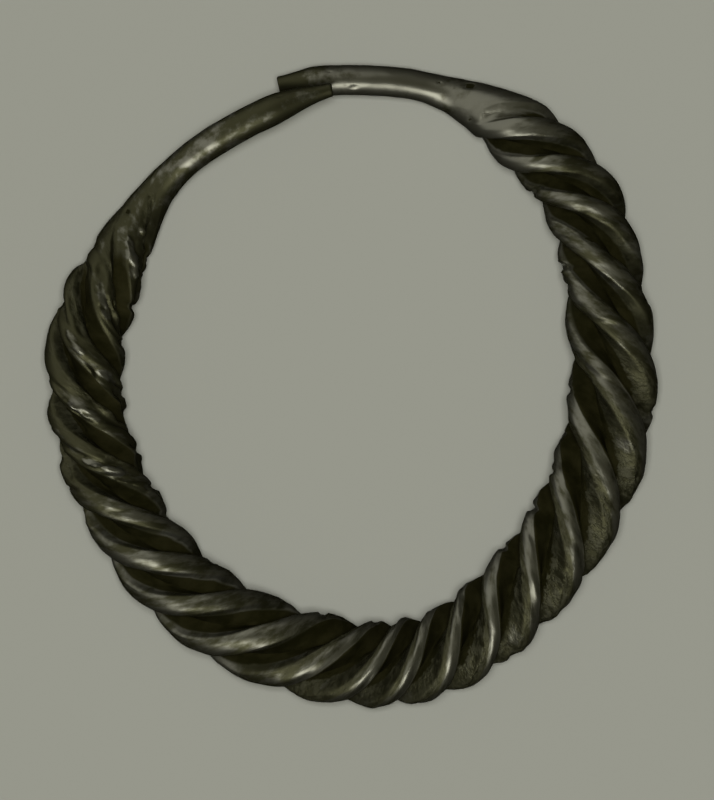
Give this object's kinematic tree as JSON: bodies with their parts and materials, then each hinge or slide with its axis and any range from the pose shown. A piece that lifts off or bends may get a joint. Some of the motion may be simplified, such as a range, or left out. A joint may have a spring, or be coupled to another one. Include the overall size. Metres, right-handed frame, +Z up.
{
  "type": "hoop earring",
  "caption": "Stout twisted metal hoop earring lying flat, its flanged bar ending in two plain, tapering ends that pass each other.",
  "frame": {"origin": "on the surface that the hoop lies on, below the middle of its outline", "axes": "+Z up from the lying hoop, +Y towards the two ends, +X to the right as the hoop is seen from above"},
  "size_m": [0.0404, 0.0422, 0.0063],
  "materials": {
    "patinated_bronze": "dark patinated bronze, satin, worn brighter on the crests and smoother on the plain ends"
  },
  "bodies": {
    "root": {"twisted_hoop": "patinated_bronze"}
  },
  "joints": []
}
